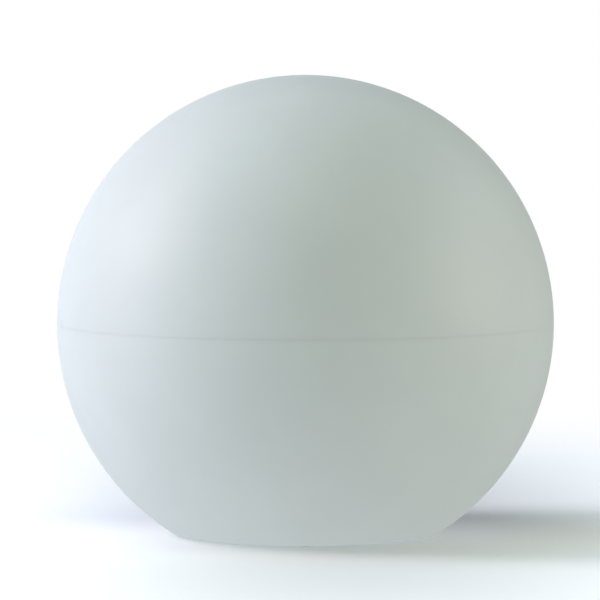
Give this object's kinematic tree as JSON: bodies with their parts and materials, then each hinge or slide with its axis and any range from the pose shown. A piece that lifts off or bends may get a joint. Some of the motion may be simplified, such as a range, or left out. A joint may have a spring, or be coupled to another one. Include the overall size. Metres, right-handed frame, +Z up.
{
  "type": "floating pool light",
  "caption": "Floating globe light: translucent flat-bottomed ball with a screw-in, sealed, rechargeable light module that carries a push button, a covered charging port and a hanging bail.",
  "frame": {"origin": "on the floor, under the middle of the globe", "axes": "+Z up along the globe's axis; +X along the hanging bail's pivots; +Y from the charging port towards the button"},
  "size_m": [0.3, 0.3, 0.2781],
  "materials": {
    "globe_plastic": "translucent satin polyethylene",
    "body_plastic": "fine satin texture, moulded",
    "clear_plastic": "clear polycarbonate with a light frost",
    "black_plastic": "moulded, fine texture",
    "grey_rubber": "matt",
    "silicone": "satin silicone",
    "foam": "closed-cell foam",
    "stainless_steel": "polished stainless wire and screws",
    "ballast_steel": "zinc-plated, sawn and turned",
    "nickel_strip": "bright nickel-plated strip",
    "aluminium_sheet": "rolled sheet",
    "cell_wrap": "shrink-wrapped lithium cell",
    "led_package": "white package with yellow phosphor",
    "white_mask": "white solder mask",
    "green_mask": "green solder mask",
    "white_film": "micro-foamed reflector film",
    "red_wire": "silicone insulation",
    "black_wire": "silicone insulation"
  },
  "bodies": {
    "globe": {"upper_shell": "globe_plastic", "lower_shell": "globe_plastic", "rubber_feet": "grey_rubber", "ballast_ring": "ballast_steel", "ballast_screws": "stainless_steel"},
    "seal_ring": {"neck_seal": "silicone"},
    "light_module": {"base_plate": "body_plastic", "plate_gasket": "silicone", "plate_screws": "stainless_steel", "housing": "body_plastic", "dome_lens": "clear_plastic", "lens_gasket": "silicone", "lens_screws": "stainless_steel", "heat_spreader": "aluminium_sheet", "light_board": "white_mask", "led_chips": "led_package", "reflector_sheet": "white_film", "light_screws": "stainless_steel", "lead_grommet": "grey_rubber", "battery_cells": "cell_wrap", "battery_cradle": "black_plastic", "cradle_screws": "stainless_steel", "cell_foam": "foam", "cell_strips": "nickel_strip", "control_board": "green_mask", "board_components": "black_plastic", "board_screws": "stainless_steel", "switch_body": "black_plastic", "positive_lead": "red_wire", "negative_lead": "black_wire", "light_lead": "black_wire", "socket_body": "black_plastic", "socket_shell": "stainless_steel", "socket_gasket": "silicone", "socket_screws": "stainless_steel", "hinge_pin": "stainless_steel", "button_spring": "stainless_steel"},
    "power_button": {"button_cap": "silicone", "button_clip": "stainless_steel", "stem_seal": "silicone", "switch_plunger": "white_film"},
    "hang_bail": {"hang_bail": "stainless_steel"},
    "port_door": {"port_door": "body_plastic", "port_seal": "silicone"}
  },
  "joints": [
    {"name": "module_drop", "type": "slide", "parent": "globe", "child": "seal_ring", "axis": [0, 0, -1], "range_m": [0, 0.0121]},
    {"name": "module_turn", "type": "hinge", "parent": "seal_ring", "child": "light_module", "pos_m": [0, 0, 0], "axis": [0, 0, -1], "range_deg": [0, 360]},
    {"name": "button_press", "type": "slide", "parent": "light_module", "child": "power_button", "axis": [0, 0, 1], "range_m": [0, 0.0012], "stiffness_N_per_m": 1000, "springref_m": -0.002, "deforming": ["button_spring"]},
    {"name": "bail_swing", "type": "hinge", "parent": "light_module", "child": "hang_bail", "pos_m": [0, 0, 0.0056], "axis": [-1, 0, 0], "range_deg": [0, 120]},
    {"name": "door_swing", "type": "hinge", "parent": "light_module", "child": "port_door", "pos_m": [0, -0.0272, 0.0074], "axis": [-1, 0, 0], "range_deg": [0, 110]}
  ],
  "couplings": [
    {"joint": "module_drop", "follows": "module_turn", "m_per_rad": 0.0019099}
  ]
}
